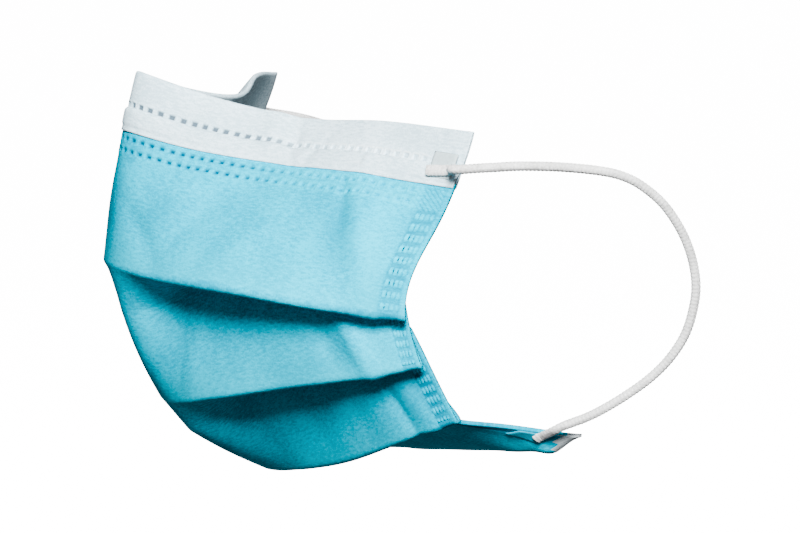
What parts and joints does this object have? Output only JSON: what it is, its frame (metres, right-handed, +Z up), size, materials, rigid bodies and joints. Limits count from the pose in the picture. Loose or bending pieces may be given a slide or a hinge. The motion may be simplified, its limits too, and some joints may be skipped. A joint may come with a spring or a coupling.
{
  "type": "pleated face mask",
  "caption": "Disposable pleated face mask in its worn shape, with a white top band over a nose wire and elastic ear loops welded to its corners.",
  "frame": {"origin": "the nose bridge: the middle of the mask's top edge", "axes": "+X to the wearer's left, +Y backwards from the face of the mask towards the ears, +Z up"},
  "size_m": [0.1695, 0.1059, 0.0882],
  "materials": {
    "cover_blue": "matt spunbond nonwoven",
    "band_white": "matt spunbond nonwoven",
    "wire_core": "plain flat wire, inside the band",
    "weld_grey": "pressed flat and slightly shiny",
    "loop_white": "knitted elastic"
  },
  "bodies": {
    "root": {"pleated_body": "cover_blue", "top_band": "band_white", "nose_wire": "wire_core", "loop_weld_top_left": "weld_grey", "loop_weld_top_right": "weld_grey", "loop_weld_bottom_left": "weld_grey", "loop_weld_bottom_right": "weld_grey", "ear_loop_left": "loop_white", "ear_loop_right": "loop_white"}
  },
  "joints": []
}
